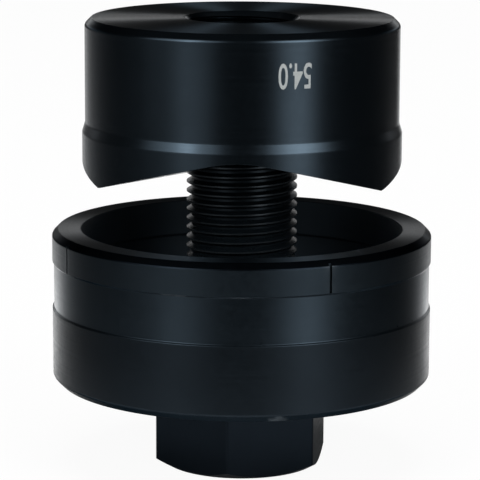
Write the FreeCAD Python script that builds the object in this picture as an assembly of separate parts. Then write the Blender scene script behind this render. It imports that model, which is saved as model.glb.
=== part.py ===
"""Sheet metal hole punch drawn together by a screw: punch, die, draw screw and thrust bearing.

Millimetres, +Z up along the screw. The origin is the centre of the hex head's lower face,
on which the set stands. A three-pointed punch hangs on the screw's thread above a cup-shaped
die, with the sheet's gap between them. Turning the head draws the punch down through the
sheet into the die, and a banded ball thrust bearing carries the pull between head and die.
The camera side of the set is -Y.
"""
import FreeCAD, Part
import math
import os

Vector = FreeCAD.Vector
UP = Vector(0, 0, 1)
AXIS = Vector(0, 0, 0)

# The cut: hole size, play between the cutting edges, and the open gap that takes the sheet
hole_diameter = 54.0
cutting_clearance = 0.3
sheet_gap = 8.73

# Punch
punch_height = 27.07
punch_body_relief = 0.5
punch_cone_height = 1.65
punch_land_height = 7.87
punch_edge_chamfer = 1.1
cutting_points = 3
flank_angle = 10.9
valley_rise_angle = 9.6
valley_radius = 23.0
punch_turn_angle = -1.5
punch_bore_clearance = 0.05

# Die
die_diameter = 64.4
cup_depth = 13.7
die_floor_thickness = 5.0
bearing_recess_depth = 7.4
bearing_recess_clearance = 0.15
die_land_height = 6.0
die_bore_relief = 0.4
die_edge_break = 0.15
die_top_chamfer = 1.0
die_base_chamfer = 1.2
die_ring_height = 5.4
die_band_height = 8.1
die_band_recess = 0.27
cup_floor_fillet = 1.5
screw_hole_clearance = 0.3
mark_count = 4
mark_width = 0.4
mark_depth = 0.3
mark_offset_angle = 26.3

# Draw screw
thread_diameter = 19.05
screw_reach_past_points = 17.57
screw_end_chamfer = 1.5
across_flats = 27.0
head_height = 12.0
head_face_diameter = 26.0
head_chamfer_angle = 30.0
head_turn_angle = -8.5
washer_face_diameter = 26.0
washer_face_height = 0.6

# Banded ball thrust bearing
bearing_diameter = 35.0
bearing_height = 10.0
shaft_washer_bore_clearance = 0.475
housing_washer_bore_clearance = 0.975
shaft_washer_edge_clearance = 0.3
washer_chamfer = 0.6
ball_count = 14
ball_diameter = 5.0
ball_pitch_diameter = 27.5
ball_pocket_clearance = 0.1
raceway_clearance = 0.02
raceway_depth = 0.75
raceway_radius_ratio = 0.54
cage_thickness = 2.4
cage_rim_width = 0.65
band_thickness = 0.6
band_lip_overlap = 0.7
band_lip_clearance = 0.25

# Radii that follow from the sizes above
land_radius = hole_diameter / 2
punch_body_radius = land_radius - punch_body_relief
cutting_bore_radius = land_radius + cutting_clearance
die_radius = die_diameter / 2
shank_radius = thread_diameter / 2
ball_radius = ball_diameter / 2
pitch_radius = ball_pitch_diameter / 2
bearing_radius = bearing_diameter / 2
band_radius = bearing_radius + band_thickness
shaft_washer_radius = bearing_radius - shaft_washer_edge_clearance
washer_thickness = (bearing_height - ball_diameter) / 2 + raceway_depth

# Heights that follow, from the floor up
bearing_base = head_height
bearing_top = bearing_base + bearing_height
ball_height = bearing_base + bearing_height / 2
die_base = bearing_top - bearing_recess_depth
cup_floor = bearing_top + die_floor_thickness
die_top = cup_floor + cup_depth
points_height = die_top + sheet_gap
punch_top = points_height + punch_height
screw_end = points_height + screw_reach_past_points


def revolve(outline):
    """Turn a closed outline of (radius, height) corners round the screw's axis."""
    corners = [Vector(radius, 0, height) for radius, height in outline]
    face = Part.Face(Part.makePolygon(corners + corners[:1]))
    return face.revolve(AXIS, UP, 360)


def circle_edges(shape, radius, height):
    """The circular edges of a turned shape at one radius and height."""
    found = []
    for edge in shape.Edges:
        curve = edge.Curve
        if not isinstance(curve, Part.Circle):
            continue
        same_size = abs(curve.Radius - radius) < 1e-6
        same_height = abs(curve.Center.z - height) < 1e-6
        if same_size and same_height:
            found.append(edge)
    return found


def rotated(shape, angle):
    """A copy of a shape turned about the screw's axis."""
    copy = shape.copy()
    copy.rotate(AXIS, UP, angle)
    return copy


def valley_cutter():
    """Rounded roof prism that mills one valley into the punch's underside, towards +X.

    Its ridge rises outwards, so the two flanks beside each cutting point meet in a ridge
    that falls towards the rim. The rim's corners between the valleys are the lowest points.
    """
    flank = math.radians(flank_angle)
    rise = math.radians(valley_rise_angle)
    half_share = math.radians(180 / cutting_points)
    reach = 1.5 * land_radius
    arc_centre = -valley_radius / math.cos(flank)
    tangent_side = valley_radius * math.sin(flank)
    tangent_height = arc_centre + valley_radius * math.cos(flank)
    flank_foot = -reach * math.tan(flank)
    low = flank_foot - punch_height

    left_foot = Vector(0, -reach, flank_foot)
    left_tangent = Vector(0, -tangent_side, tangent_height)
    crown = Vector(0, 0, arc_centre + valley_radius)
    right_tangent = Vector(0, tangent_side, tangent_height)
    right_foot = Vector(0, reach, flank_foot)
    roof = [
        Part.LineSegment(left_foot, left_tangent).toShape(),
        Part.Arc(left_tangent, crown, right_tangent).toShape(),
        Part.LineSegment(right_tangent, right_foot).toShape(),
        Part.LineSegment(right_foot, Vector(0, reach, low)).toShape(),
        Part.LineSegment(Vector(0, reach, low), Vector(0, -reach, low)).toShape(),
        Part.LineSegment(Vector(0, -reach, low), left_foot).toShape(),
    ]
    prism = Part.Face(Part.Wire(roof)).extrude(Vector(2 * reach, 0, 0))
    prism.translate(Vector(-reach, 0, 0))
    prism.rotate(AXIS, Vector(0, 1, 0), -valley_rise_angle)

    drop_to_points = math.sin(half_share) * math.tan(flank) / math.cos(rise)
    drop_to_points -= math.cos(half_share) * math.tan(rise)
    prism.translate(Vector(0, 0, points_height + land_radius * drop_to_points))
    return prism


def make_punch():
    """Threaded punch with a cutting land, a relieved body and three cutting points."""
    bore_radius = shank_radius + punch_bore_clearance
    land_top = points_height + punch_land_height
    punch = revolve([
        (bore_radius, points_height),
        (land_radius, points_height),
        (land_radius, land_top),
        (punch_body_radius, land_top + punch_cone_height),
        (punch_body_radius, punch_top - punch_edge_chamfer),
        (punch_body_radius - punch_edge_chamfer, punch_top),
        (bore_radius, punch_top),
    ])
    cutter = valley_cutter()
    for index in range(cutting_points):
        valley_angle = punch_turn_angle - 90 + index * 360 / cutting_points
        punch = punch.cut(rotated(cutter, valley_angle))
    return punch


def make_die():
    """Cup-shaped die with a cutting edge, a seat for the bearing and four alignment marks."""
    cup_radius = cutting_bore_radius + die_bore_relief
    hole_radius = shank_radius + screw_hole_clearance
    recess_radius = band_radius + bearing_recess_clearance
    band_side = die_radius - die_band_recess
    land_foot = die_top - die_land_height
    ring_foot = die_top - die_ring_height
    band_foot = ring_foot - die_band_height
    die = revolve([
        (hole_radius, cup_floor),
        (cup_radius, cup_floor),
        (cup_radius, land_foot - die_bore_relief),
        (cutting_bore_radius, land_foot),
        (cutting_bore_radius, die_top - die_edge_break),
        (cutting_bore_radius + die_edge_break, die_top),
        (die_radius - die_top_chamfer, die_top),
        (die_radius, die_top - die_top_chamfer),
        (die_radius, ring_foot),
        (band_side, ring_foot - die_band_recess),
        (band_side, band_foot + die_band_recess),
        (die_radius, band_foot),
        (die_radius, die_base + die_base_chamfer),
        (die_radius - die_base_chamfer, die_base),
        (recess_radius, die_base),
        (recess_radius, bearing_top),
        (hole_radius, bearing_top),
    ])
    die = die.makeFillet(cup_floor_fillet, circle_edges(die, cup_radius, cup_floor))

    groove = Part.makeBox(2 * mark_depth, mark_width, die_top - ring_foot)
    groove.translate(Vector(die_radius - mark_depth, -mark_width / 2, ring_foot))
    for index in range(mark_count):
        mark_angle = mark_offset_angle + index * 360 / mark_count
        die = die.cut(rotated(groove, mark_angle))
    return die


def make_draw_screw():
    """Hex head with a chamfered lower face and a washer face, on a full-diameter shank."""
    corner_radius = across_flats / math.sqrt(3)
    hex_height = head_height - washer_face_height
    corners = []
    for index in range(6):
        angle = math.radians(head_turn_angle - 90 + 60 * index)
        corners.append(Vector(corner_radius * math.cos(angle), corner_radius * math.sin(angle), 0))
    hexagon = Part.Face(Part.makePolygon(corners + corners[:1])).extrude(Vector(0, 0, hex_height))

    outside = 1.2 * corner_radius
    chamfer_rise = (outside - head_face_diameter / 2) * math.tan(math.radians(head_chamfer_angle))
    chamfer_form = revolve([
        (0, 0),
        (head_face_diameter / 2, 0),
        (outside, chamfer_rise),
        (outside, head_height),
        (0, head_height),
    ])
    head = hexagon.common(chamfer_form)

    shank = revolve([
        (0, hex_height),
        (washer_face_diameter / 2, hex_height),
        (washer_face_diameter / 2, head_height),
        (shank_radius, head_height),
        (shank_radius, screw_end - screw_end_chamfer),
        (shank_radius - screw_end_chamfer, screw_end),
        (0, screw_end),
    ])
    return head.fuse(shank).removeSplitter()


def raceway(height):
    """Torus that grinds the balls' track into a bearing washer."""
    return Part.makeTorus(pitch_radius, raceway_radius_ratio * ball_diameter, Vector(0, 0, height), UP)


def make_shaft_washer():
    """Lower bearing washer, on the screw's head, stepped at its foot for the band's lip."""
    bore_radius = shank_radius + shaft_washer_bore_clearance
    lip_seat_radius = shaft_washer_radius - band_lip_overlap
    lip_seat_top = bearing_base + 2 * band_lip_clearance + band_thickness
    washer_top = bearing_base + washer_thickness
    washer = revolve([
        (bore_radius + washer_chamfer, bearing_base),
        (lip_seat_radius - band_lip_clearance, bearing_base),
        (lip_seat_radius - band_lip_clearance, lip_seat_top),
        (shaft_washer_radius, lip_seat_top),
        (shaft_washer_radius, washer_top),
        (bore_radius, washer_top),
        (bore_radius, bearing_base + washer_chamfer),
    ])
    track_height = ball_height - ball_radius - raceway_clearance + raceway_radius_ratio * ball_diameter
    return washer.cut(raceway(track_height))


def make_housing_washer():
    """Upper bearing washer, against the seat in the die."""
    bore_radius = shank_radius + housing_washer_bore_clearance
    washer_foot = bearing_top - washer_thickness
    washer = revolve([
        (bore_radius, washer_foot),
        (bearing_radius, washer_foot),
        (bearing_radius, bearing_top - washer_chamfer),
        (bearing_radius - washer_chamfer, bearing_top),
        (bore_radius, bearing_top),
    ])
    track_height = ball_height + ball_radius + raceway_clearance - raceway_radius_ratio * ball_diameter
    return washer.cut(raceway(track_height))


def make_band():
    """Drawn steel band pressed on the housing washer, its lip turned in under the shaft washer."""
    band_foot = bearing_base + band_lip_clearance
    return revolve([
        (shaft_washer_radius - band_lip_overlap, band_foot),
        (band_radius - band_thickness, band_foot),
        (band_radius, band_foot + band_thickness),
        (band_radius, bearing_top - washer_chamfer),
        (bearing_radius, bearing_top - washer_chamfer),
        (bearing_radius, band_foot + band_thickness),
        (shaft_washer_radius - band_lip_overlap, band_foot + band_thickness),
    ])


def ball_places():
    """Centres of the balls, evenly spaced on their pitch circle."""
    places = []
    for index in range(ball_count):
        angle = 2 * math.pi * index / ball_count
        x = pitch_radius * math.cos(angle)
        y = pitch_radius * math.sin(angle)
        places.append(Vector(x, y, ball_height))
    return places


def make_cage():
    """Flat ring with one round pocket for each ball."""
    pocket_radius = ball_radius + ball_pocket_clearance
    inner_radius = pitch_radius - pocket_radius - cage_rim_width
    outer_radius = pitch_radius + pocket_radius + cage_rim_width
    foot = ball_height - cage_thickness / 2
    cage = revolve([
        (inner_radius, foot),
        (outer_radius, foot),
        (outer_radius, foot + cage_thickness),
        (inner_radius, foot + cage_thickness),
    ])
    for place in ball_places():
        pocket_foot = Vector(place.x, place.y, foot)
        cage = cage.cut(Part.makeCylinder(pocket_radius, cage_thickness, pocket_foot, UP))
    return cage


def make_parts():
    """Every piece of the set, by its node's name."""
    parts = {
        "punch": make_punch(),
        "die": make_die(),
        "draw_screw": make_draw_screw(),
        "bearing_shaft_washer": make_shaft_washer(),
        "bearing_housing_washer": make_housing_washer(),
        "bearing_band": make_band(),
        "bearing_cage": make_cage(),
    }
    for number, place in enumerate(ball_places(), start=1):
        parts[f"bearing_ball_{number:02d}"] = Part.makeSphere(ball_radius, place)
    return parts


def main():
    """Write one STEP file for each piece."""
    os.makedirs("parts", exist_ok=True)
    for node, shape in make_parts().items():
        shape.exportStep(f"parts/{node}.step")
        bounds = shape.BoundBox
        print(f"{node}: {len(shape.Solids)} solid, {shape.Volume:.1f} mm3, "
              f"valid {shape.isValid()}, z {bounds.ZMin:.2f} to {bounds.ZMax:.2f}")


main()
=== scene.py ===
"""Round sheet metal hole punch on its draw screw: the looks of the set, built over its CAD frame.

The set stands on the screw's hex head. A punch with three cutting points hangs on the screw's
thread above a cup-shaped die, and a banded ball thrust bearing sits between die and head.
Everything lies on the frame's Z axis, in metres. Pieces are modelled in millimetres and
scaled when they are finished. The photograph was taken from -Y.
"""

import math
from types import SimpleNamespace

import bmesh
import bpy
from bpy.props import (FloatProperty, FloatVectorProperty, IntProperty, PointerProperty,
                       StringProperty)
from mathutils import Matrix, Vector


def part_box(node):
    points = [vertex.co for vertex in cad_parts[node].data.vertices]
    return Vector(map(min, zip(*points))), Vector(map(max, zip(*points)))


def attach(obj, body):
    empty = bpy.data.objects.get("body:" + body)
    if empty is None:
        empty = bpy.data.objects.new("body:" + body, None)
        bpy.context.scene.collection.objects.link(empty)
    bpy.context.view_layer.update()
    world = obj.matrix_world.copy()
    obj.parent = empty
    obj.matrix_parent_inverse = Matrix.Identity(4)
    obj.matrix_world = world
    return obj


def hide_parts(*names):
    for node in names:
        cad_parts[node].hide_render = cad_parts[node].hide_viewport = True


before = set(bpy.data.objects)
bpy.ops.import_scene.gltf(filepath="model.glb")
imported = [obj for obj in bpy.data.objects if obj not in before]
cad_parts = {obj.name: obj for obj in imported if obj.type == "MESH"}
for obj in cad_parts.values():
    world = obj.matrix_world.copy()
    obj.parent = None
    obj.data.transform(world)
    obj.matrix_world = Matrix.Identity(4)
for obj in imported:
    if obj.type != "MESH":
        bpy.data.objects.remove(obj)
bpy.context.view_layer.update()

bl_info = {
    "name": "Sheet metal hole punch",
    "version": (1, 0, 0),
    "blender": (4, 5, 0),
    "location": "View3D > Sidebar > Hole Punch",
    "description": "Builds a draw-screw hole punch: punch, die, screw and ball thrust bearing",
    "category": "Object",
}

MM = 0.001
# Steps of a full turn on the lathe, of one turn of thread, and across a raceway.
TURN_STEPS = 192
THREAD_STEPS = 96
RACEWAY_STEPS = 14
# Turns over which a thread's groove fades away.
RUN_OUT_TURNS = 1.2
# Points closer than this are welded, and heights closer than this count as one, in millimetres.
WELD = 0.0001
NEAR = 0.01
# How far a cutter reaches past what it cuts, in millimetres.
OVERCUT = 1.0
# Edges stay sharp where their faces turn by more than this.
SHARP_ANGLE = math.radians(40)
# A face is sloping or level when the upright part of its normal is more than this.
SLOPING = 0.3
LEVEL = 0.99


def frame_height(node, end):
    """Height of a CAD node's lowest (0) or highest (1) point, in millimetres."""
    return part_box(node)[end].z / MM


# Sizes, colours and light that a user may change


def length(name, description, millimetres):
    """A length property, given in millimetres and kept in metres."""
    return FloatProperty(name=name, description=description, default=millimetres * MM,
                         min=0.0, precision=6, unit="LENGTH", subtype="DISTANCE")


def angle(name, description, degrees):
    """An angle property, in radians."""
    return FloatProperty(name=name, description=description, default=math.radians(degrees),
                         unit="ROTATION", subtype="ANGLE")


def linear(hex_colour):
    """Turn an sRGB hex colour into linear red, green and blue."""
    channels = [int(hex_colour[place:place + 2], 16) / 255 for place in (1, 3, 5)]
    return [c / 12.92 if c <= 0.04045 else ((c + 0.055) / 1.055) ** 2.4 for c in channels]


def colour(name, description, hex_colour):
    """A colour property, linear inside and written as sRGB hex."""
    return FloatVectorProperty(name=name, description=description, default=linear(hex_colour),
                               min=0.0, max=1.0, subtype="COLOR", size=3)


class ThreadSizes(bpy.types.PropertyGroup):
    """The 3/4 inch fine thread that screw and punch share."""

    major_radius: length("Major radius", "Radius of the screw's plain shank", 9.525)
    crest_radius: length("Crest radius", "Outer radius of the screw's rolled thread", 9.37)
    crest_rounding: length("Crest rounding", "Rounding of the screw's rolled crests", 0.25)
    pitch: length("Pitch", "Rise of the thread in one turn", 1.5875)
    screw_root_radius: length("Screw root radius",
                              "Radius at the bottom of the screw's groove", 8.55)
    nut_crest_radius: length("Punch crest radius",
                             "Radius of the crests in the punch's bore", 8.665)
    root_flat: length("Root flat", "Width of the groove at its bottom", 0.36)
    flank: angle("Flank angle", "Angle of each flank to the thread's radius", 30.0)
    phase: angle("Phase", "Turn of the thread about the axis", -78.0)


class PunchSizes(bpy.types.PropertyGroup):
    """Sizes of the punch."""

    points: length("Cutting points", "Height of the three cutting points", frame_height("punch", 0))
    top: length("Top", "Height of the punch's top face", frame_height("punch", 1))
    land_radius: length("Land radius", "Radius of the cutting land", 27.0)
    body_relief: length("Body relief", "Step from the land in to the body", 0.5)
    land_height: length("Land height", "Height of the land above the cutting points", 7.87)
    cone_height: length("Cone height", "Height of the bright cone above the land", 1.65)
    top_chamfer: length("Top chamfer", "Chamfer round the top face", 1.1)
    countersink: length("Countersink radius", "Radius of the bore's countersinks", 9.75)
    flank: angle("Flank angle", "Slope of the valleys' flanks", 10.9)
    valley_rise: angle("Valley rise", "Slope at which each valley rises outwards", 9.6)
    valley_radius: length("Valley radius", "Rounding at the bottom of each valley", 23.0)
    turn: angle("Turn", "Turn of the valleys about the axis", -1.5)
    valleys: IntProperty(name="Valleys", description="Number of valleys and cutting points",
                         default=3, min=3)


class MarkSizes(bpy.types.PropertyGroup):
    """The hole's size, etched upside down on the punch."""

    text: StringProperty(name="Number", description="Hole diameter in millimetres", default="54.0")
    height: length("Digit height", "Height of the digits", 4.2)
    width: length("Mark width", "Width of the whole number", 5.6)
    middle: length("Middle height", "Height of the mark's middle above the floor", 69.8)
    place: angle("Place", "Azimuth of the mark's middle, counted from +X", -71.5)


class DieSizes(bpy.types.PropertyGroup):
    """Sizes of the die."""

    foot: length("Foot", "Height of the die's lower face", frame_height("die", 0))
    top: length("Top", "Height of the die's top face", frame_height("die", 1))
    radius: length("Radius", "Outer radius of the die", 32.2)
    cutting_radius: length("Cutting radius", "Radius of the cutting edge", 27.3)
    bore_relief: length("Bore relief", "Step from the cutting edge out to the cup", 0.4)
    land_height: length("Land height", "Height of the bore's cutting land", 6.0)
    ring_height: length("Ring height", "Height of the ring at the top", 5.4)
    band_height: length("Band height", "Height of the recessed middle band", 8.1)
    band_recess: length("Band recess", "Depth of the middle band", 0.27)
    top_chamfer: length("Top chamfer", "Chamfer round the top face", 1.0)
    foot_chamfer: length("Foot chamfer", "Chamfer round the lower face", 1.2)
    floor_thickness: length("Floor thickness", "Thickness of the cup's floor", 5.0)
    floor_fillet: length("Floor fillet", "Rounding between cup and floor", 1.5)
    screw_clearance: length("Screw clearance", "Play round the screw in the floor", 0.3)
    seat_radius: length("Seat radius", "Radius of the bearing's seat", 18.25)
    mark_width: length("Mark width", "Width of the alignment marks", 0.45)
    mark_depth: length("Mark depth", "Depth of the alignment marks", 0.45)
    mark_place: angle("Mark place", "Azimuth of the first alignment mark", 26.3)
    marks: IntProperty(name="Marks", description="Number of alignment marks", default=4, min=1)


class ScrewSizes(bpy.types.PropertyGroup):
    """Sizes of the draw screw."""

    end: length("End", "Height of the screw's upper end", frame_height("draw_screw", 1))
    head_top: length("Head top", "Height of the head's upper face", 12.0)
    across_flats: length("Across flats", "Spanner size of the head", 27.0)
    face_radius: length("Face radius", "Radius of the head's round lower face", 13.0)
    face_chamfer: angle("Face chamfer", "Angle of the chamfer on the hexagon's lower corners", 30.0)
    head_turn: angle("Head turn", "Turn of the hexagon about the axis", -8.5)
    corner_rounding: length("Corner rounding", "Rounding of the hexagon's upright edges", 0.35)
    washer_face_radius: length("Washer face radius", "Radius of the face under the bearing", 13.0)
    washer_face_height: length("Washer face height", "Height of that face", 0.6)
    end_chamfer: length("End chamfer", "Chamfer at the upper end", 1.5)
    thread_start: length("Thread start", "Height where the thread runs out", 28.5)


class BearingSizes(bpy.types.PropertyGroup):
    """Sizes of the banded ball thrust bearing."""

    radius: length("Radius", "Outer radius of the housing washer", 17.5)
    height: length("Height", "Height of the bearing", 10.0)
    washer_thickness: length("Washer thickness", "Thickness of each washer", 3.25)
    shaft_bore_radius: length("Shaft washer bore", "Bore radius of the lower washer", 10.0)
    housing_bore_radius: length("Housing washer bore", "Bore radius of the upper washer", 10.5)
    edge_clearance: length("Edge clearance", "Play between lower washer and band", 0.3)
    washer_chamfer: length("Washer chamfer", "Chamfer on the washers", 0.6)
    ball_radius: length("Ball radius", "Radius of the balls", 2.5)
    pitch_radius: length("Pitch radius", "Radius of the circle of balls", 13.75)
    raceway_radius: length("Raceway radius", "Radius of the groove that the balls run in", 2.7)
    raceway_clearance: length("Raceway clearance", "Play between ball and groove", 0.02)
    cage_thickness: length("Cage thickness", "Thickness of the cage", 2.4)
    cage_rim: length("Cage rim", "Metal left beside each pocket", 0.65)
    pocket_clearance: length("Pocket clearance", "Play round each ball", 0.1)
    band_thickness: length("Band thickness", "Thickness of the drawn band", 0.6)
    lip_overlap: length("Lip overlap", "Reach of the band's lip under the washer", 0.7)
    lip_clearance: length("Lip clearance", "Play between lip and washer", 0.25)
    balls: IntProperty(name="Balls", description="Number of balls", default=14, min=3)


class FinishColours(bpy.types.PropertyGroup):
    """Colours of the finishes."""

    oxide: colour("Black oxide", "Reflection of black oxided steel", "#353F47")
    # Lighter colour painted on sharp edges: partly worn steel, partly a painted highlight for the
    # edges' reflections.
    worn_steel_and_edge_sheen: colour("Worn oxide", "Steel showing through at handled edges", "#6D757B")
    oxide_ring: colour("Ring oxide", "Satin black oxide, on the die's ring", "#2F383F")
    oxide_matt: colour("Matt oxide", "Duller black oxide, on the die's lower band", "#262D33")
    oxide_oiled: colour("Oiled oxide", "Black oxide under oil, on the screw's thread", "#21292F")
    oxide_dark: colour("Dark oxide",
                       "Thicker black oxide, on the screw's head and the die's rim",
                       "#191F25")
    mark: colour("Etched mark", "Bare grey steel in the etched number", "#C3C8C8")
    ground_steel: colour("Ground steel", "Bearing washers", "#B5B6B5")
    drawn_steel: colour("Drawn steel", "Bearing band", "#96989A")
    pressed_steel: colour("Pressed steel", "Bearing cage", "#A5A6A6")
    ball_steel: colour("Ball steel", "Polished balls", "#CBCCCD")
    paper: colour("Paper", "White floor of the studio", "#FFFFFF")


class StudioSettings(bpy.types.PropertyGroup):
    """Camera and light of the photograph."""

    camera_distance: length("Camera distance", "Distance in front of the axis", 452.3)
    camera_height: length("Camera height", "Height above the floor", 125.68)
    camera_side: FloatProperty(name="Camera side", description="Sideways place of the camera",
                               default=-0.284 * MM, precision=6, unit="LENGTH", subtype="DISTANCE")
    camera_pitch: angle("Camera pitch", "How far the camera looks down", 10.922)
    camera_roll: angle("Camera roll", "How far the camera leans to its left", 0.25)
    lens: FloatProperty(name="Lens", description="Focal length in millimetres on a 36 mm sensor",
                        default=202.89, min=1.0, unit="CAMERA")
    box_strength: FloatProperty(name="Soft boxes",
                                description="Brightness of the brightest soft box",
                                default=7.0, min=0.0)
    lamp_power: FloatProperty(name="Top lamp", description="Power of the lamp overhead in watts",
                              default=6.0, min=0.0, unit="POWER")


GROUPS = {
    "hole_punch_thread": ThreadSizes,
    "hole_punch_punch": PunchSizes,
    "hole_punch_mark": MarkSizes,
    "hole_punch_die": DieSizes,
    "hole_punch_screw": ScrewSizes,
    "hole_punch_bearing": BearingSizes,
    "hole_punch_colours": FinishColours,
    "hole_punch_studio": StudioSettings,
}


def sizes_of(*pieces):
    """The settings of some pieces, with their lengths in millimetres."""
    settings = []
    for piece in pieces:
        group = getattr(bpy.context.scene, f"hole_punch_{piece}")
        sizes = SimpleNamespace()
        for name, setting in group.bl_rna.properties.items():
            if name in ("rna_type", "name"):
                continue
            value = getattr(group, name)
            setattr(sizes, name, value / MM if setting.unit == "LENGTH" else value)
        settings.append(sizes)
    return settings


# Modelling


def rounded_outline(corners, closed=True):
    """A bmesh outline in the XZ plane from (radius, height, rounding) corners.

    Roundings over 1 mm get more steps than the others.
    """
    outline = bmesh.new()
    verts = [outline.verts.new((radius, 0, height)) for radius, height, _ in corners]
    followers = verts[1:] + verts[:1] if closed else verts[1:]
    for first, second in zip(verts, followers):
        outline.edges.new((first, second))
    for rounding in sorted({corner[2] for corner in corners} - {0}):
        chosen = [vert for vert, corner in zip(verts, corners) if corner[2] == rounding]
        bmesh.ops.bevel(outline, geom=chosen, offset=rounding, offset_type="OFFSET",
                        segments=8 if rounding > 1 else 4, profile=0.5, affect="VERTICES",
                        material=-1)
    return outline


def arc_corners(centre, radius, start, end, steps):
    """Corners along an arc of an outline, between two angles in degrees."""
    corners = []
    for step in range(steps + 1):
        turn = math.radians(start + (end - start) * step / steps)
        corners.append((centre[0] + radius * math.cos(turn),
                        centre[1] + radius * math.sin(turn), 0))
    return corners


def turned(corners, closed=True):
    """Spin an outline once round the axis, as on a lathe."""
    skin = rounded_outline(corners, closed)
    bmesh.ops.spin(skin, geom=skin.verts[:] + skin.edges[:], cent=(0, 0, 0), axis=(0, 0, 1),
                   dvec=(0, 0, 0), angle=2 * math.pi, space=Matrix.Identity(4), steps=TURN_STEPS,
                   use_merge=True, use_normal_flip=False, use_duplicate=False)
    bmesh.ops.remove_doubles(skin, verts=skin.verts, dist=WELD)
    bmesh.ops.recalc_face_normals(skin, faces=skin.faces)
    return skin


def turn_round(shape, turn):
    """Turn a bmesh about the axis."""
    bmesh.ops.rotate(shape, verts=shape.verts, cent=(0, 0, 0),
                     matrix=Matrix.Rotation(turn, 3, "Z"))


def thread_coil(section, start, end, thread, phase, run_out=0.0):
    """A right-hand coil that cuts a thread. Its section is a list of (radius, width) pairs.

    run_out lifts the coil's start that far out of the metal, so the groove fades away there.
    """
    coil = bmesh.new()
    outline = [(radius, -width / 2) for radius, width in section]
    outline += [(radius, width / 2) for radius, width in reversed(section)]
    verts = [coil.verts.new((radius, 0, start + height)) for radius, height in outline]
    face = coil.faces.new(verts)
    turns = math.ceil((end - start) / thread.pitch)
    bmesh.ops.spin(coil, geom=[face] + face.edges[:] + face.verts[:], cent=(0, 0, 0),
                   axis=(0, 0, 1), dvec=(0, 0, thread.pitch / THREAD_STEPS),
                   angle=2 * math.pi * turns, space=Matrix.Identity(4),
                   steps=turns * THREAD_STEPS, use_merge=False, use_normal_flip=False,
                   use_duplicate=False)
    for vert in coil.verts:
        lift = run_out * max(0.0, 1 - (vert.co.z - start) / (RUN_OUT_TURNS * thread.pitch))
        radius = vert.co.xy.length
        vert.co.xy *= (radius + lift) / radius
    turn_round(coil, phase)
    bmesh.ops.recalc_face_normals(coil, faces=coil.faces)
    return coil


def in_scene(shape, name):
    """Make a bmesh a mesh object, still in millimetres."""
    mesh = bpy.data.meshes.new(name)
    shape.to_mesh(mesh)
    shape.free()
    piece = bpy.data.objects.new(name, mesh)
    bpy.context.scene.collection.objects.link(piece)
    return piece


def settled(piece):
    """Turn a piece's modifiers into its mesh."""
    bpy.context.view_layer.update()
    ready = piece.evaluated_get(bpy.context.evaluated_depsgraph_get())
    mesh = bpy.data.meshes.new_from_object(ready)
    piece.modifiers.clear()
    piece.data = mesh
    if not mesh.polygons:
        raise RuntimeError(f"{piece.name} came out empty")
    return piece


def worked(piece, tool, operation):
    """Cut a piece with a tool, keep what both share, or join them. The tool is used up."""
    change = piece.modifiers.new(operation.title(), "BOOLEAN")
    change.operation = operation
    change.solver = "EXACT"
    change.object = tool
    settled(piece)
    bpy.data.objects.remove(tool)
    return piece


def finished(piece, materials, body, nodes=()):
    """Scale a piece to metres, smooth it between its sharp edges and hang it in the frame.

    materials maps each material to a test of a face's middle, in millimetres, and its normal.
    The last material whose test a face passes is its own.
    """
    piece.data.materials.clear()
    for number, (material, belongs) in enumerate(materials.items()):
        piece.data.materials.append(material)
        for face in piece.data.polygons:
            if belongs is None or belongs(face.center, face.normal):
                face.material_index = number
    piece.data.transform(Matrix.Scale(MM, 4))
    piece.data.shade_smooth()
    piece.data.set_sharp_from_angle(angle=SHARP_ANGLE)
    piece.modifiers.new("Even Shading", "WEIGHTED_NORMAL").keep_sharp = True
    settled(piece)
    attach(piece, body)
    if nodes:
        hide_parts(*nodes)
    return piece


# Materials


def add(tree, kind, inputs=None, **settings):
    """Add a node with its settings. An input is a number, a colour or another node's output."""
    node = tree.nodes.new("ShaderNode" + kind)
    for name, value in settings.items():
        setattr(node, name, value)
    for name, value in (inputs or {}).items():
        if isinstance(value, bpy.types.NodeSocket):
            tree.links.new(value, node.inputs[name])
        else:
            node.inputs[name].default_value = value
    return node


def new_material(name):
    """An empty material and its node tree."""
    material = bpy.data.materials.new(name)
    material.use_nodes = True
    material.node_tree.nodes.clear()
    return material, material.node_tree


def rgba(colour_value, factor=1.0):
    """A colour with its alpha, made lighter or darker."""
    return tuple(min(1.0, c * factor) for c in colour_value) + (1.0,)


def finish_colour(name):
    """One of the finishes' colours."""
    return getattr(bpy.context.scene.hole_punch_colours, name)


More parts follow.
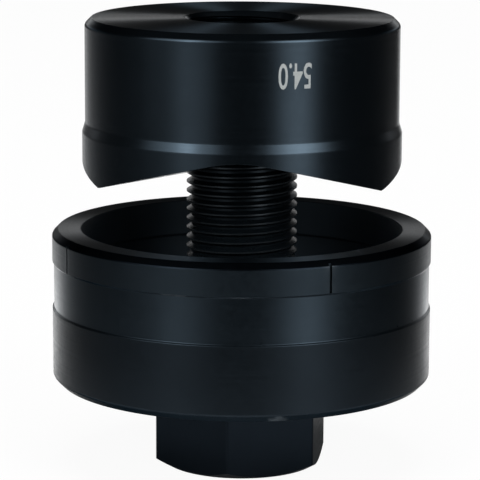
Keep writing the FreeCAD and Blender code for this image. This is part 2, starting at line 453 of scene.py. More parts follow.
def turned_steel(name, finish, roughness, line_depth=0.002, anisotropy=0.2, dullness=0.05,
                 edge_wear_and_sheen=0.8, edge=1.0, metal=1.0):
    """Steel off a lathe, under a thin finish.

    The tool leaves fine rings about 0.15 mm apart, drawn 0.3 mm apart so that they show, and
    line_depth millimetres deep. They stretch reflections across the rings, on the walls up
    and down and on the faces along the radius. The finish is blotchy over 5 to 10 mm, and
    sharp edges are painted lighter. This is partly worn steel and partly a painted highlight
    for the edges' reflections. dullness is how far its roughness strays, edge_wear_and_sheen
    the share of that lighter colour at a sharp edge, and edge the share of its shine that a
    sooty surface keeps at a grazing view. metal is the share not hidden by a dull, sooty film.
    """
    base = finish_colour(finish)
    material, tree = new_material(name)
    place = add(tree, "TexCoord").outputs["Object"]
    apart = add(tree, "SeparateXYZ", {0: place})
    flat = add(tree, "CombineXYZ", {0: apart.outputs[0], 1: apart.outputs[1]})
    radius = add(tree, "VectorMath", {0: flat.outputs[0]}, operation="LENGTH")
    across = add(tree, "Math", {0: radius.outputs["Value"], 1: apart.outputs[2]}, operation="ADD")
    rings = add(tree, "TexNoise", {"W": across.outputs[0], "Scale": 1 / (0.6 * MM), "Detail": 3.0,
                                   "Roughness": 0.7}, noise_dimensions="1D")
    blotches = add(tree, "TexNoise", {"Vector": place, "Scale": 1 / (9 * MM), "Detail": 4.0,
                                      "Roughness": 0.6})
    grains = add(tree, "TexNoise", {"Vector": place, "Scale": 1 / (0.9 * MM), "Detail": 2.0,
                                    "Roughness": 0.6})

    patch = add(tree, "MapRange", {"Value": blotches.outputs["Fac"],
                                   "From Min": 0.3, "From Max": 0.7})
    mottled = add(tree, "Mix", {"Factor": patch.outputs[0], "A": rgba(base, 0.93),
                                "B": rgba(base, 1.07)}, data_type="RGBA")
    # Sharp edges, found by pointiness, get the lighter edge colour: partly worn steel, partly a
    # painted highlight for the edges' reflections.
    sharp = add(tree, "MapRange", {"Value": add(tree, "NewGeometry").outputs["Pointiness"],
                                   "From Min": 0.52, "From Max": 0.6, "To Max": edge_wear_and_sheen})
    worn_and_sheen_edges = add(tree, "Math", {0: sharp.outputs[0], 1: patch.outputs[0]}, operation="MULTIPLY")
    tint = add(tree, "Mix", {"Factor": worn_and_sheen_edges.outputs[0], "A": mottled.outputs["Result"],
                             "B": rgba(finish_colour("worn_steel_and_edge_sheen"))}, data_type="RGBA")

    uneven = add(tree, "Math", {0: grains.outputs["Fac"], 1: rings.outputs["Fac"]}, operation="ADD")
    satin = add(tree, "MapRange", {"Value": uneven.outputs[0], "From Min": 0.6, "From Max": 1.4,
                                   "To Min": roughness - dullness, "To Max": roughness + dullness})
    relief = add(tree, "Bump", {"Strength": 0.5, "Distance": line_depth * MM,
                                "Height": rings.outputs["Fac"]})
    around = add(tree, "Tangent", direction_type="RADIAL", axis="Z")
    shader = add(tree, "BsdfPrincipled", {
        "Base Color": tint.outputs["Result"], "Metallic": metal, "Roughness": satin.outputs[0],
        "Normal": relief.outputs[0], "Tangent": around.outputs[0],
        "Anisotropic": anisotropy, "Anisotropic Rotation": 0.25,
        "Specular Tint": rgba((edge,) * 3)})
    add(tree, "OutputMaterial", {"Surface": shader.outputs[0]})
    return material


def smooth_steel(name, finish, roughness, scratch_size):
    """Bright bearing steel, ground, drawn or polished.

    Fine uneven scratches, scratch_size millimetres long, make its gloss patchy.
    """
    base = finish_colour(finish)
    material, tree = new_material(name)
    place = add(tree, "TexCoord").outputs["Object"]
    film = add(tree, "TexNoise", {"Vector": place, "Scale": 1 / (4 * MM), "Detail": 3.0})
    scratches = add(tree, "TexNoise", {"Vector": place, "Scale": 1 / (scratch_size * MM),
                                       "Detail": 4.0, "Roughness": 0.7})
    oiled = add(tree, "Mix", {"Factor": film.outputs["Fac"], "A": rgba(base, 0.85),
                              "B": rgba(base, 1.1)}, data_type="RGBA")
    satin = add(tree, "MapRange", {"Value": scratches.outputs["Fac"], "From Min": 0.3,
                                   "From Max": 0.7, "To Min": roughness * 0.7,
                                   "To Max": roughness * 1.3})
    relief = add(tree, "Bump", {"Strength": 0.25, "Distance": 0.004 * MM,
                                "Height": scratches.outputs["Fac"]})
    shader = add(tree, "BsdfPrincipled", {
        "Base Color": oiled.outputs["Result"], "Metallic": 1.0, "Roughness": satin.outputs[0],
        "Normal": relief.outputs[0]})
    add(tree, "OutputMaterial", {"Surface": shader.outputs[0]})
    return material


def etched_steel(name, finish):
    """Electro-etched steel: the oxide is gone, and the bare metal scatters light, matt and grey."""
    base = finish_colour(finish)
    material, tree = new_material(name)
    place = add(tree, "TexCoord").outputs["Object"]
    frost = add(tree, "TexNoise", {"Vector": place, "Scale": 1 / (0.25 * MM), "Detail": 3.0,
                                   "Roughness": 0.7})
    uneven = add(tree, "Mix", {"Factor": frost.outputs["Fac"], "A": rgba(base, 0.7),
                               "B": rgba(base, 1.15)}, data_type="RGBA")
    shader = add(tree, "BsdfPrincipled", {
        "Base Color": uneven.outputs["Result"], "Metallic": 0.0, "Roughness": 0.6, "IOR": 1.5})
    add(tree, "OutputMaterial", {"Surface": shader.outputs[0]})
    return material


# Pieces


def valley_height(x, y, punch):
    """Height of the punch's underside at a point: the highest of the milled valleys.

    Each valley is a rounded roof whose ridge rises outwards, so between two valleys a
    falling ridge leads to a cutting point on the rim.
    """
    share = math.pi / punch.valleys
    slope, rise = math.tan(punch.flank), math.tan(punch.valley_rise)
    ridge = punch.land_radius * (math.sin(share) * slope / math.cos(punch.valley_rise)
                                 - math.cos(share) * rise)
    heights = []
    for index in range(punch.valleys):
        turn = punch.turn - math.pi / 2 + index * 2 * share
        along = x * math.cos(turn) + y * math.sin(turn)
        aside = abs(y * math.cos(turn) - x * math.sin(turn))
        if aside < punch.valley_radius * math.sin(punch.flank):
            crown = -punch.valley_radius / math.cos(punch.flank)
            roof = crown + math.sqrt(punch.valley_radius ** 2 - aside ** 2)
        else:
            roof = -aside * slope
        heights.append(punch.points + ridge + along * rise + roof / math.cos(punch.valley_rise))
    return max(heights)


def groove_width(thread, radius):
    """Width of the screw's groove between its straight flanks, at a radius."""
    return thread.root_flat + 2 * (radius - thread.screw_root_radius) * math.tan(thread.flank)


class HOLEPUNCH_OT_punch(bpy.types.Operator):
    """Turn the punch, mill its three valleys and tap its bore"""

    bl_idname = "hole_punch.punch"
    bl_label = "Punch"

    def execute(self, context):
        punch, thread, screw = sizes_of("punch", "thread", "screw")
        body = punch.land_radius - punch.body_relief
        sink = punch.countersink - thread.nut_crest_radius
        cone_foot = punch.points + punch.land_height
        rings = 14
        spread = (punch.land_radius - punch.countersink) / rings
        underside = [(punch.countersink + spread * ring, punch.points, 0) for ring in range(rings)]
        skin = turned(underside + [
            (punch.land_radius, punch.points, 0.06),
            (punch.land_radius, cone_foot, 0.15),
            (body, cone_foot + punch.cone_height, 0.15),
            (body, punch.top - punch.top_chamfer, 0.35),
            (body - punch.top_chamfer, punch.top, 0.12),
            (punch.countersink, punch.top, 0.1),
            (thread.nut_crest_radius, punch.top - sink, 0.05),
            (thread.nut_crest_radius, punch.points + sink, 0),
        ])
        for vert in skin.verts:
            if vert.co.z < punch.points + sink + NEAR:
                vert.co.z += valley_height(vert.co.x, vert.co.y, punch) - punch.points
        piece = in_scene(skin, "turned_punch")
        # The tap starts inside the bore's crests and ends just outside the screw's shank.
        overlap, root_play, root_width = 0.07, 0.02, 0.2
        inner = thread.nut_crest_radius - overlap
        section = [(inner, thread.pitch - groove_width(thread, inner)),
                   (thread.major_radius + root_play, root_width)]
        turns_below = math.floor((punch.points - screw.thread_start) / thread.pitch) - 1
        coil = thread_coil(section, screw.thread_start + turns_below * thread.pitch,
                           punch.top + thread.pitch, thread, thread.phase)
        worked(piece, in_scene(coil, "tap"), "DIFFERENCE")
        wall = turned_steel("black_oxided_turned_punch_steel", "oxide", 0.24, dullness=0.03)
        face = turned_steel("black_oxided_faced_punch_steel", "oxide", 0.43, anisotropy=0.97,
                            dullness=0.03, edge_wear_and_sheen=0.0)
        chamfer = turned_steel("black_oxided_punch_chamfer_steel", "oxide", 0.24,
                               dullness=0.03, edge=0.45)
        finished(piece, {
            wall: None,
            chamfer: lambda middle, normal: normal.z > SLOPING,
            face: lambda middle, normal: normal.z > LEVEL,
        }, "punch_body", ["punch"])
        return {"FINISHED"}


class HOLEPUNCH_OT_size_mark(bpy.types.Operator):
    """Etch the hole's size upside down into the punch's wall"""

    bl_idname = "hole_punch.size_mark"
    bl_label = "Size mark"

    def execute(self, context):
        mark, punch = sizes_of("mark", "punch")
        # The digits are drawn at any size, with thickened strokes, and scaled below. They
        # become a thin sheet, sunk into the wall.
        drawn_size, thickening = 10.0, 0.1
        thickness, sunk = 0.06, 0.04
        curve = bpy.data.curves.new("size_mark", "FONT")
        curve.body = mark.text
        curve.size = drawn_size
        curve.offset = thickening
        curve.resolution_u = 4
        source = bpy.data.objects.new("size_mark", curve)
        context.scene.collection.objects.link(source)
        context.view_layer.update()
        source_shape = source.evaluated_get(context.evaluated_depsgraph_get())
        flat = bpy.data.meshes.new_from_object(source_shape)
        bpy.data.objects.remove(source)
        digits = bmesh.new()
        digits.from_mesh(flat)
        bmesh.ops.remove_doubles(digits, verts=digits.verts, dist=WELD)
        lowest = Vector((min(v.co.x for v in digits.verts), min(v.co.y for v in digits.verts), 0))
        highest = Vector((max(v.co.x for v in digits.verts), max(v.co.y for v in digits.verts), 0))
        bmesh.ops.translate(digits, verts=digits.verts, vec=-(lowest + highest) / 2)
        size = highest - lowest
        bmesh.ops.scale(digits, verts=digits.verts,
                        vec=(mark.width / size.x, mark.height / size.y, 1))
        turn_round(digits, math.pi)
        sheet = bmesh.ops.extrude_face_region(digits, geom=digits.faces[:])
        raised = [item for item in sheet["geom"] if isinstance(item, bmesh.types.BMVert)]
        bmesh.ops.translate(digits, verts=raised, vec=(0, 0, thickness))
        bmesh.ops.recalc_face_normals(digits, faces=digits.faces)
        wall = punch.land_radius - punch.body_relief
        for vert in digits.verts:
            turn = mark.place + vert.co.x / wall
            radius = wall - sunk + vert.co.z
            vert.co = (radius * math.cos(turn), radius * math.sin(turn), mark.middle + vert.co.y)
        bmesh.ops.recalc_face_normals(digits, faces=digits.faces)
        steel = etched_steel("etched_bare_steel", "mark")
        finished(in_scene(digits, "size_mark"), {steel: None}, "punch_body")
        return {"FINISHED"}


class HOLEPUNCH_OT_die(bpy.types.Operator):
    """Turn the cup-shaped die and cut its alignment marks"""

    bl_idname = "hole_punch.die"
    bl_label = "Die"

    def execute(self, context):
        die, thread, bearing, screw = sizes_of("die", "thread", "bearing", "screw")
        seat = screw.head_top + bearing.height
        floor = seat + die.floor_thickness
        hole = thread.major_radius + die.screw_clearance
        cup = die.cutting_radius + die.bore_relief
        band = die.radius - die.band_recess
        land_foot = die.top - die.land_height
        ring_foot = die.top - die.ring_height
        band_foot = ring_foot - die.band_height
        skin = turned([
            (hole, floor, 0.3),
            (cup, floor, die.floor_fillet),
            (cup, land_foot - die.bore_relief, 0.1),
            (die.cutting_radius, land_foot, 0.1),
            (die.cutting_radius, die.top, 0.12),
            (die.radius - die.top_chamfer, die.top, 0.12),
            (die.radius, die.top - die.top_chamfer, 0.2),
            (die.radius, ring_foot, 0.07),
            (band, ring_foot - die.band_recess, 0.07),
            (band, band_foot + die.band_recess, 0.07),
            (die.radius, band_foot, 0.07),
            (die.radius, die.foot + die.foot_chamfer, 0.25),
            (die.radius - die.foot_chamfer, die.foot, 0.15),
            (die.seat_radius, die.foot, 0.3),
            (die.seat_radius, seat, 0.2),
            (hole, seat, 0.3),
        ])
        piece = in_scene(skin, "cup_die")
        slot_height = die.ring_height + OVERCUT
        for index in range(die.marks):
            slot = bmesh.new()
            bmesh.ops.create_cube(slot, size=1)
            bmesh.ops.scale(slot, verts=slot.verts,
                            vec=(2 * die.mark_depth, die.mark_width, slot_height))
            bmesh.ops.translate(slot, verts=slot.verts,
                                vec=(die.radius, 0, ring_foot + slot_height / 2))
            turn_round(slot, die.mark_place + index * 2 * math.pi / die.marks)
            worked(piece, in_scene(slot, "mark_cutter"), "DIFFERENCE")
        wall = turned_steel("black_oxided_turned_die_steel", "oxide_matt", 0.41, line_depth=0.003)
        ring = turned_steel("black_oxided_turned_ring_steel", "oxide_ring", 0.41, line_depth=0.003)
        smooth = turned_steel("black_oxided_ground_band_steel", "oxide", 0.31, dullness=0.04)
        face = turned_steel("black_oxided_faced_die_steel", "oxide", 0.43, anisotropy=0.97,
                            dullness=0.03, edge_wear_and_sheen=0.0)
        chamfer = turned_steel("black_oxided_die_chamfer_steel", "oxide_matt", 0.3, edge=0.4)
        rim = turned_steel("black_oxided_die_rim_steel", "oxide_dark", 0.3, edge=0.4)
        inside = turned_steel("black_oxided_bored_die_steel", "oxide", 0.45, line_depth=0.003,
                              edge_wear_and_sheen=0.0, metal=0.65)
        # Faces are outside from this far beyond the cup. They are in it from this far below
        # its floor to this far below the die's top.
        beyond, below = 0.3, 0.1

        def outside(middle):
            return middle.xy.length > cup + beyond

        def in_cup(middle):
            return floor - below < middle.z < die.top - below and not outside(middle)

        finished(piece, {
            wall: None,
            ring: lambda middle, normal: middle.z > ring_foot,
            smooth: lambda middle, normal: band_foot < middle.z < ring_foot and outside(middle),
            chamfer: lambda middle, normal: normal.z < -SLOPING and outside(middle),
            rim: lambda middle, normal: (
                normal.z > SLOPING and outside(middle) and middle.z > ring_foot),
            face: lambda middle, normal: abs(normal.z) > LEVEL,
            inside: lambda middle, normal: in_cup(middle),
        }, "die_body", ["die"])
        return {"FINISHED"}


class HOLEPUNCH_OT_draw_screw(bpy.types.Operator):
    """Forge the hex head, turn the shank and cut the thread"""

    bl_idname = "hole_punch.draw_screw"
    bl_label = "Draw screw"

    def execute(self, context):
        screw, thread = sizes_of("screw", "thread")
        corner = screw.across_flats / math.sqrt(3)
        hex_top = screw.head_top - screw.washer_face_height

        hexagon = bmesh.new()
        bmesh.ops.create_cone(hexagon, cap_ends=True, segments=6, radius1=corner, radius2=corner,
                              depth=hex_top)
        bmesh.ops.translate(hexagon, verts=hexagon.verts, vec=(0, 0, hex_top / 2))
        upright = [edge for edge in hexagon.edges
                   if abs(edge.verts[0].co.z - edge.verts[1].co.z) > hex_top / 2]
        bmesh.ops.bevel(hexagon, geom=upright, offset=screw.corner_rounding, offset_type="OFFSET",
                        segments=4, profile=0.5, affect="EDGES", material=-1)
        turn_round(hexagon, screw.head_turn)
        piece = in_scene(hexagon, "threaded_draw_screw")

        outside = 1.2 * corner
        chamfer_rise = (outside - screw.face_radius) * math.tan(screw.face_chamfer)
        chamfer_form = turned([
            (0, 0, 0), (screw.face_radius, 0, 0.2), (outside, chamfer_rise, 0),
            (outside, hex_top + OVERCUT, 0), (0, hex_top + OVERCUT, 0)], closed=False)
        worked(piece, in_scene(chamfer_form, "chamfer_form"), "INTERSECT")

        # The shank starts down in the head, and narrows just below the thread.
        buried = hex_top - 2
        neck = screw.thread_start - 0.4
        shank = turned([
            (0, buried, 0),
            (screw.washer_face_radius, buried, 0),
            (screw.washer_face_radius, screw.head_top, 0.15),
            (thread.major_radius, screw.head_top, 0.3),
            (thread.major_radius, neck, 0.1),
            (thread.crest_radius, screw.thread_start, 0.1),
            (thread.crest_radius, screw.end - screw.end_chamfer, 0.1),
            (thread.crest_radius - screw.end_chamfer, screw.end, 0.1),
            (0, screw.end, 0),
        ], closed=False)
        worked(piece, in_scene(shank, "shank"), "UNION")

        root, crest, rounding = thread.screw_root_radius, thread.crest_radius, thread.crest_rounding
        section = [(root, groove_width(thread, root))]
        # Rolled crests: the depth below the crest, and how much wider the groove is there, both
        # as shares of the rounding.
        for share, spread in ((0.8, 0.0), (0.2, 0.2), (-0.5, 0.6)):
            radius = crest - share * rounding
            section.append((radius, groove_width(thread, min(radius, crest)) + spread * rounding))
        coil = thread_coil(section, screw.thread_start, screw.end + thread.pitch, thread,
                           thread.phase + math.pi, run_out=1.1)
        worked(piece, in_scene(coil, "thread_cutter"), "DIFFERENCE")
        oiled = turned_steel("oiled_black_oxided_thread_steel", "oxide_oiled", 0.3,
                             line_depth=0.001, anisotropy=0.0, dullness=0.06, edge=0.4, metal=0.6)
        forged = turned_steel("oiled_black_oxided_head_steel", "oxide_dark", 0.36,
                              anisotropy=0.0, dullness=0.06, edge_wear_and_sheen=0.0, edge=0.5)
        finished(piece, {
            oiled: None,
            forged: lambda middle, normal: middle.z < screw.head_top + NEAR,
        }, "screw_body", ["draw_screw"])
        return {"FINISHED"}


class HOLEPUNCH_OT_bearing_washers(bpy.types.Operator):
    """Turn and grind the two bearing washers with their raceways"""

    bl_idname = "hole_punch.bearing_washers"
    bl_label = "Bearing washers"

    def execute(self, context):
        bearing, screw = sizes_of("bearing", "screw")
        base = screw.head_top
        top = base + bearing.height
        middle = base + bearing.height / 2
        track = bearing.ball_radius + bearing.raceway_clearance - bearing.raceway_radius
        lower_face = base + bearing.washer_thickness
        reach = math.degrees(math.acos((middle - track - lower_face) / bearing.raceway_radius))
        edge = bearing.radius - bearing.edge_clearance
        lip_seat = edge - bearing.lip_overlap - bearing.lip_clearance
        lip_top = base + 2 * bearing.lip_clearance + bearing.band_thickness
        steel = smooth_steel("ground_bearing_steel", "ground_steel", 0.22, 0.4)

        lower = turned([
            (bearing.shaft_bore_radius + bearing.washer_chamfer, base, 0.12),
            (lip_seat, base, 0.12),
            (lip_seat, lip_top, 0),
            (edge, lip_top, 0.12),
            (edge, lower_face, 0.2),
            *arc_corners((bearing.pitch_radius, middle - track), bearing.raceway_radius,
                         -90 + reach, -90 - reach, RACEWAY_STEPS),
            (bearing.shaft_bore_radius, lower_face, 0.2),
            (bearing.shaft_bore_radius, base + bearing.washer_chamfer, 0.12),
        ])
        finished(in_scene(lower, "shaft_washer"), {steel: None}, "screw_body",
                 ["bearing_shaft_washer"])

        upper_face = top - bearing.washer_thickness
        upper = turned([
            (bearing.housing_bore_radius, upper_face, 0.2),
            *arc_corners((bearing.pitch_radius, middle + track), bearing.raceway_radius,
                         90 + reach, 90 - reach, RACEWAY_STEPS),
            (bearing.radius, upper_face, 0.2),
            (bearing.radius, top - bearing.washer_chamfer, 0.12),
            (bearing.radius - bearing.washer_chamfer, top, 0.12),
            (bearing.housing_bore_radius, top, 0.2),
        ])
        finished(in_scene(upper, "housing_washer"), {steel: None}, "die_body",
                 ["bearing_housing_washer"])
        return {"FINISHED"}


class HOLEPUNCH_OT_bearing_band(bpy.types.Operator):
    """Draw the band that keeps the bearing together"""

    bl_idname = "hole_punch.bearing_band"
    bl_label = "Bearing band"

    def execute(self, context):
        bearing, screw = sizes_of("bearing", "screw")
        foot = screw.head_top + bearing.lip_clearance
        lip = bearing.radius - bearing.edge_clearance - bearing.lip_overlap
        outside = bearing.radius + bearing.band_thickness
        rim = screw.head_top + bearing.height - bearing.washer_chamfer
        band = turned([
            (lip, foot, 0.15),
            (outside, foot, bearing.band_thickness),
            (outside, rim, 0.15),
            (bearing.radius, rim, 0.1),
            (bearing.radius, foot + bearing.band_thickness, 0.05),
            (lip, foot + bearing.band_thickness, 0.15),
        ])
        steel = smooth_steel("drawn_sheet_steel", "drawn_steel", 0.3, 0.8)
        finished(in_scene(band, "drawn_band"), {steel: None}, "die_body",
                 ["bearing_band"])
        return {"FINISHED"}


def ball_places(bearing, height):
    """Centres of the balls on their circle."""
    places = []
    for index in range(bearing.balls):
        turn = 2 * math.pi * index / bearing.balls
        across, deep = bearing.pitch_radius * math.cos(turn), bearing.pitch_radius * math.sin(turn)
        places.append(Vector((across, deep, height)))
    return places


class HOLEPUNCH_OT_bearing_cage(bpy.types.Operator):
    """Press the cage and drill its pockets"""

    bl_idname = "hole_punch.bearing_cage"
    bl_label = "Bearing cage"

    def execute(self, context):
        bearing, screw = sizes_of("bearing", "screw")
        middle = screw.head_top + bearing.height / 2
        pocket = bearing.ball_radius + bearing.pocket_clearance
        inner = bearing.pitch_radius - pocket - bearing.cage_rim
        outer = bearing.pitch_radius + pocket + bearing.cage_rim
        foot, top = middle - bearing.cage_thickness / 2, middle + bearing.cage_thickness / 2
        ring = turned([(inner, foot, 0.2), (outer, foot, 0.2),
                       (outer, top, 0.2), (inner, top, 0.2)])
        piece = in_scene(ring, "pressed_cage")
        drills = bmesh.new()
        for place in ball_places(bearing, middle):
            bmesh.ops.create_cone(drills, cap_ends=True, segments=48, radius1=pocket,
                                  radius2=pocket, depth=2 * bearing.cage_thickness,
                                  matrix=Matrix.Translation(place))
        worked(piece, in_scene(drills, "pocket_drills"), "DIFFERENCE")
        steel = smooth_steel("pressed_sheet_steel", "pressed_steel", 0.34, 1.0)
        finished(piece, {steel: None}, "cage_body", ["bearing_cage"])
        return {"FINISHED"}


class HOLEPUNCH_OT_bearing_balls(bpy.types.Operator):
    """Put the polished balls into the cage's pockets"""

    bl_idname = "hole_punch.bearing_balls"
    bl_label = "Bearing balls"

    def execute(self, context):
        bearing, screw = sizes_of("bearing", "screw")
        steel = smooth_steel("polished_ball_steel", "ball_steel", 0.08, 1.5)
        places = ball_places(bearing, screw.head_top + bearing.height / 2)
        for number, place in enumerate(places, start=1):
            ball = bmesh.new()
            bmesh.ops.create_icosphere(ball, subdivisions=4, radius=bearing.ball_radius,
                                       matrix=Matrix.Translation(place))
            finished(in_scene(ball, f"polished_ball_{number:02d}"), {steel: None}, "cage_body",
                     [f"bearing_ball_{number:02d}"])
        return {"FINISHED"}


# Studio


def brightness(tree, factor, stops):
    """A smooth curve of the studio's brightness through (place, value) stops, as grey."""
    node = add(tree, "ValToRGB", {0: factor})
    elements = node.color_ramp.elements
    node.color_ramp.interpolation = "EASE"
    while len(elements) < len(stops):
        elements.new(0.5)
    for element, (place, value) in zip(elements, stops):
        element.position = place
        element.color = (value, value, value, 1.0)
    return node.outputs["Color"]


# The light all round the set: (degrees to the camera's right, brightness).
LOW_RING = [
    (-180, 0.08), (-100, 0.07), (-80, 0.12), (-68, 0.25), (-57, 0.3), (-50, 0.47), (-42, 0.82),
    (-35, 0.68), (-26, 0.45), (-17, 0.1), (-8, 0.06), (0, 0.055), (8, 0.055), (16, 0.07),
    (23, 0.28), (30, 1.1), (37, 1.75), (44, 1.85), (51, 0.95), (58, 0.2), (66, 0.07), (80, 0.05),
    (180, 0.03),
]
TABLE_RING = [
    (-180, 3.0), (-165, 4.2), (-155, 3.4), (-146, 1.9), (-138, 0.8), (-128, 0.38), (-115, 0.2),
    (-98, 0.14), (-80, 0.1), (-68, 0.08), (-58, 0.12), (-50, 0.28), (-42, 0.66), (-34, 0.55),
    (-26, 0.3), (-17, 0.1), (0, 0.06), (17, 0.07), (24, 0.17), (32, 0.52), (40, 0.8), (47, 0.7),
    (54, 0.26), (62, 0.1), (80, 0.07), (105, 0.06), (125, 0.1), (137, 0.34), (148, 1.7),
    (158, 3.6), (168, 4.8), (180, 2.8),
]
HIGH_RING = [
    (-180, 0.03), (-88, 0.03), (-80, 0.1), (-70, 1.1), (-60, 1.85), (-50, 2.8), (-41, 7.0),
    (-32, 1.6), (-23, 1.5), (-16, 0.35), (-10, 0.05), (8, 0.04), (18, 0.3), (26, 1.9), (35, 4.2),
    (44, 5.6), (53, 4.4), (61, 1.9), (68, 0.35), (76, 0.06), (90, 0.03), (180, 0.03),
]
BEHIND = [
    (-180, 0.62), (-160, 0.54), (-149, 0.22), (-139, 0.09), (-122, 0.02), (-105, 0.0), (105, 0.0),
    (152, 0.0), (158, 0.08), (163, 0.8), (167, 1.0), (180, 1.0),
]
BESIDE = [
    (-180, 0.0), (-175, 0.2), (-169, 1.7), (-150, 1.9), (-138, 0.75), (-125, 0.05), (-110, 0.0),
    (110, 0.0), (125, 0.04), (138, 0.8), (150, 2.1), (169, 1.6), (175, 0.2), (180, 0.0),
]
# The brightest value above, and the dark ceiling.
BRIGHTEST = 7.0
CEILING = 0.05
# These go by the slope of the view, as the sine of its angle: the steepest one counted, the
# shares of BESIDE and BEHIND as (slope, share), and the slopes between which the next light
# takes over.
STEEPEST = 0.4
TO_FACES = [(0.06, 0.0), (0.1, 1.0), (0.14, 1.0), (0.2, 0.42), (0.26, 0.0)]
TO_WALLS = [(-0.25, 0.0), (-0.2, 1.0), (-0.1, 1.0), (-0.05, 0.1), (0.02, 0.0)]
TO_TABLE = (-0.19, -0.225)
TO_HIGH = (0.24, 0.34)
TO_CEILING = (0.6, 0.85)
# The paper seen in metal, in metres from the axis: all gone, and all there.
PAPER_EDGE = (0.10, 0.05)
# Share of even light in the paper that the camera sees. The rest takes the set's shadow.
EVEN_SHARE = 0.94


def around_camera(stops, brightest=1.0):
    """Ramp stops from (degrees to the camera's right, brightness)."""
    return [(0.5 + degrees / 360, brightness / brightest) for degrees, brightness in stops]


def up_and_down(stops):
    """Ramp stops from (slope of the view, value)."""
    return [(0.5 + slope / (2 * STEEPEST), value) for slope, value in stops]


def shown_share(tree, ray, share):
    """All to the camera, and a share to the rays that metal mirrors or glass lets through."""
    mirrored = add(tree, "Math", {0: ray.outputs["Is Glossy Ray"],
                                  1: ray.outputs["Is Transmission Ray"]}, operation="ADD")
    shown = add(tree, "Math", {0: mirrored.outputs[0], 1: share,
                               2: ray.outputs["Is Camera Ray"]}, operation="MULTIPLY_ADD")
    return shown.outputs[0]


def studio_world(scene, strength):
    """White to the camera, and two tall soft boxes beside it in a dark room to everything else.

    TABLE_RING is what metal shows when it looks steeply down, LOW_RING level with the set and
    HIGH_RING well above it. BESIDE is pale light beside the backdrop, added to the room's
    where the upper faces mirror it, and BEHIND is where the walls mirror the white backdrop.
    """
    world = bpy.data.worlds.new("studio")
    scene.world = world
    world.use_nodes = True
    tree = world.node_tree
    tree.nodes.clear()
    apart = add(tree, "SeparateXYZ", {0: add(tree, "TexCoord").outputs["Generated"]})
    front = add(tree, "Math", {0: apart.outputs[1], 1: -1.0}, operation="MULTIPLY")
    bearing = add(tree, "Math", {0: apart.outputs[0], 1: front.outputs[0]}, operation="ARCTAN2")
    around = add(tree, "MapRange", {"Value": bearing.outputs[0],
                                    "From Min": -math.pi, "From Max": math.pi})
    height = apart.outputs[2]
    slope = add(tree, "MapRange", {"Value": height, "From Min": -STEEPEST, "From Max": STEEPEST})

    low, table, high, beside = (
        brightness(tree, around.outputs[0], around_camera(ring, BRIGHTEST))
        for ring in (LOW_RING, TABLE_RING, HIGH_RING, BESIDE))
    to_faces = brightness(tree, slope.outputs[0], up_and_down(TO_FACES))
    room = add(tree, "Mix", {"Factor": to_faces, "A": low, "B": beside},
               data_type="RGBA", blend_type="ADD")
    ceiling = rgba((CEILING / BRIGHTEST,) * 3)
    for (start, end), light in ((TO_TABLE, table), (TO_HIGH, high), (TO_CEILING, ceiling)):
        share = add(tree, "MapRange", {"Value": height, "From Min": start, "From Max": end},
                    interpolation_type="SMOOTHSTEP")
        room = add(tree, "Mix", {"Factor": share.outputs[0], "A": room.outputs["Result"],
                                 "B": light}, data_type="RGBA")
    studio = add(tree, "Background", {"Color": room.outputs["Result"], "Strength": strength})

    behind = brightness(tree, around.outputs[0], around_camera(BEHIND))
    to_walls = brightness(tree, slope.outputs[0], up_and_down(TO_WALLS))
    backdrop = add(tree, "Math", {0: behind, 1: to_walls}, operation="MULTIPLY")
    shown = shown_share(tree, add(tree, "LightPath"), backdrop.outputs[0])
    white = add(tree, "Background", {"Color": (1, 1, 1, 1), "Strength": 1.0})
    both = add(tree, "MixShader", {0: shown, 1: studio.outputs[0], 2: white.outputs[0]})
    add(tree, "OutputWorld", {"Surface": both.outputs[0]})


def paper_floor(base):
    """White paper table: lit evenly to the camera, so only the set's soft shadow greys it.

    Metal shows the paper as it is lit, dim under the die, and not further out than PAPER_EDGE.
    """
    material, tree = new_material("white_paper_table")
    place = add(tree, "TexCoord").outputs["Object"]
    distance = add(tree, "VectorMath", {0: place}, operation="LENGTH")
    gone, there = PAPER_EDGE
    pool = add(tree, "MapRange", {"Value": distance.outputs["Value"], "From Min": gone,
                                  "From Max": there}, interpolation_type="SMOOTHSTEP")
    ray = add(tree, "LightPath")
    shown = shown_share(tree, ray, pool.outputs[0])
    from_above = add(tree, "Math", {0: 1.0, 1: add(tree, "NewGeometry").outputs["Backfacing"]},
                     operation="SUBTRACT")
    solid = add(tree, "Math", {0: shown, 1: from_above.outputs[0]}, operation="MULTIPLY",
                use_clamp=True)
    fibres = add(tree, "TexNoise", {"Vector": place, "Scale": 1 / (2 * MM), "Detail": 2.0})
    relief = add(tree, "Bump", {"Strength": 0.1, "Distance": 0.02 * MM,
                                "Height": fibres.outputs["Fac"]})
    matt = add(tree, "BsdfDiffuse", {"Color": rgba(base), "Normal": relief.outputs[0]})
    glow = add(tree, "Emission", {"Color": rgba(base), "Strength": 1.0})
    even = add(tree, "Math", {0: ray.outputs["Is Camera Ray"], 1: EVEN_SHARE},
               operation="MULTIPLY")
    paper = add(tree, "MixShader", {0: even.outputs[0], 1: matt.outputs[0], 2: glow.outputs[0]})
    clear = add(tree, "BsdfTransparent")
    both = add(tree, "MixShader", {0: solid.outputs[0], 1: clear.outputs[0],
                                   2: paper.outputs[0]})
    add(tree, "OutputMaterial", {"Surface": both.outputs[0]})
    return material


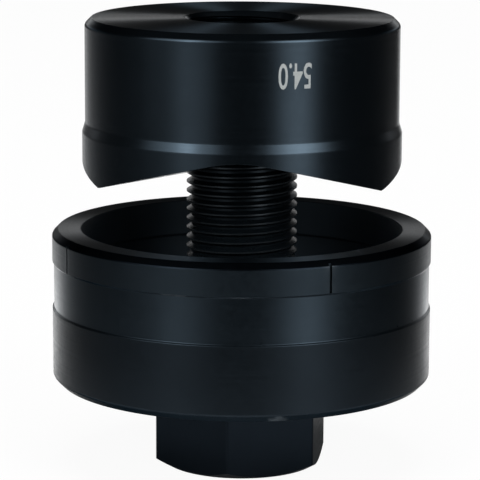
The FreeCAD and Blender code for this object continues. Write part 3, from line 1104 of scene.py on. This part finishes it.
class HOLEPUNCH_OT_stage(bpy.types.Operator):
    """Lay the table, hang the lights and set up the photograph's camera"""

    bl_idname = "hole_punch.stage"
    bl_label = "Stage"

    def execute(self, context):
        studio = context.scene.hole_punch_studio
        # In metres: the table's radius, and the lamp's width and place.
        table_radius, lamp_size, lamp_place = 1.5, 0.7, (0, -0.1, 1.0)
        table = bmesh.new()
        bmesh.ops.create_circle(table, cap_ends=True, segments=96, radius=table_radius)
        bmesh.ops.recalc_face_normals(table, faces=table.faces)
        floor = in_scene(table, "paper_table")
        if floor.data.polygons[0].normal.z < 0:
            floor.data.flip_normals()
        floor.data.materials.append(paper_floor(finish_colour("paper")))

        lamp = bpy.data.lights.new("overhead_soft_box", "AREA")
        lamp.shape = "DISK"
        lamp.size = lamp_size
        lamp.energy = studio.lamp_power
        overhead = bpy.data.objects.new("overhead_soft_box", lamp)
        overhead.location = lamp_place
        overhead.visible_glossy = False
        context.scene.collection.objects.link(overhead)
        studio_world(context.scene, studio.box_strength)

        lens = bpy.data.cameras.new("photo_camera")
        lens.lens = studio.lens
        lens.sensor_width = 36.0
        lens.clip_start = 0.01
        camera = bpy.data.objects.new("photo_camera", lens)
        camera.location = (studio.camera_side, -studio.camera_distance, studio.camera_height)
        aim = Matrix.Rotation(math.pi / 2 - studio.camera_pitch, 3, "X")
        camera.rotation_euler = (aim @ Matrix.Rotation(studio.camera_roll, 3, "Z")).to_euler()
        context.scene.collection.objects.link(camera)
        context.scene.camera = camera
        context.scene.view_settings.view_transform = "Standard"
        return {"FINISHED"}


OPERATORS = (
    HOLEPUNCH_OT_punch,
    HOLEPUNCH_OT_size_mark,
    HOLEPUNCH_OT_die,
    HOLEPUNCH_OT_draw_screw,
    HOLEPUNCH_OT_bearing_washers,
    HOLEPUNCH_OT_bearing_band,
    HOLEPUNCH_OT_bearing_cage,
    HOLEPUNCH_OT_bearing_balls,
    HOLEPUNCH_OT_stage,
)


class HOLEPUNCH_PT_sidebar(bpy.types.Panel):
    """The set's pieces and stage, in the order they are made"""

    bl_idname = "HOLEPUNCH_PT_sidebar"
    bl_label = "Hole Punch"
    bl_space_type = "VIEW_3D"
    bl_region_type = "UI"
    bl_category = "Hole Punch"

    def draw(self, context):
        for operator in OPERATORS:
            self.layout.operator(operator.bl_idname)
        for group_name, group in GROUPS.items():
            box = self.layout.box()
            box.label(text=group.__doc__)
            for name in group.__annotations__:
                box.prop(getattr(context.scene, group_name), name)


def register():
    """Register the settings, the operators and the panel."""
    for group_name, group in GROUPS.items():
        bpy.utils.register_class(group)
        setattr(bpy.types.Scene, group_name, PointerProperty(type=group))
    for operator in OPERATORS:
        bpy.utils.register_class(operator)
    bpy.utils.register_class(HOLEPUNCH_PT_sidebar)


def unregister():
    """Take out what register put in."""
    bpy.utils.unregister_class(HOLEPUNCH_PT_sidebar)
    for operator in reversed(OPERATORS):
        bpy.utils.unregister_class(operator)
    for group_name, group in reversed(GROUPS.items()):
        delattr(bpy.types.Scene, group_name)
        bpy.utils.unregister_class(group)


def main():
    """Build the set and its stage."""
    register()
    for operator in OPERATORS:
        getattr(bpy.ops.hole_punch, operator.bl_idname.split(".")[1])()


if __name__ == "__main__":
    main()
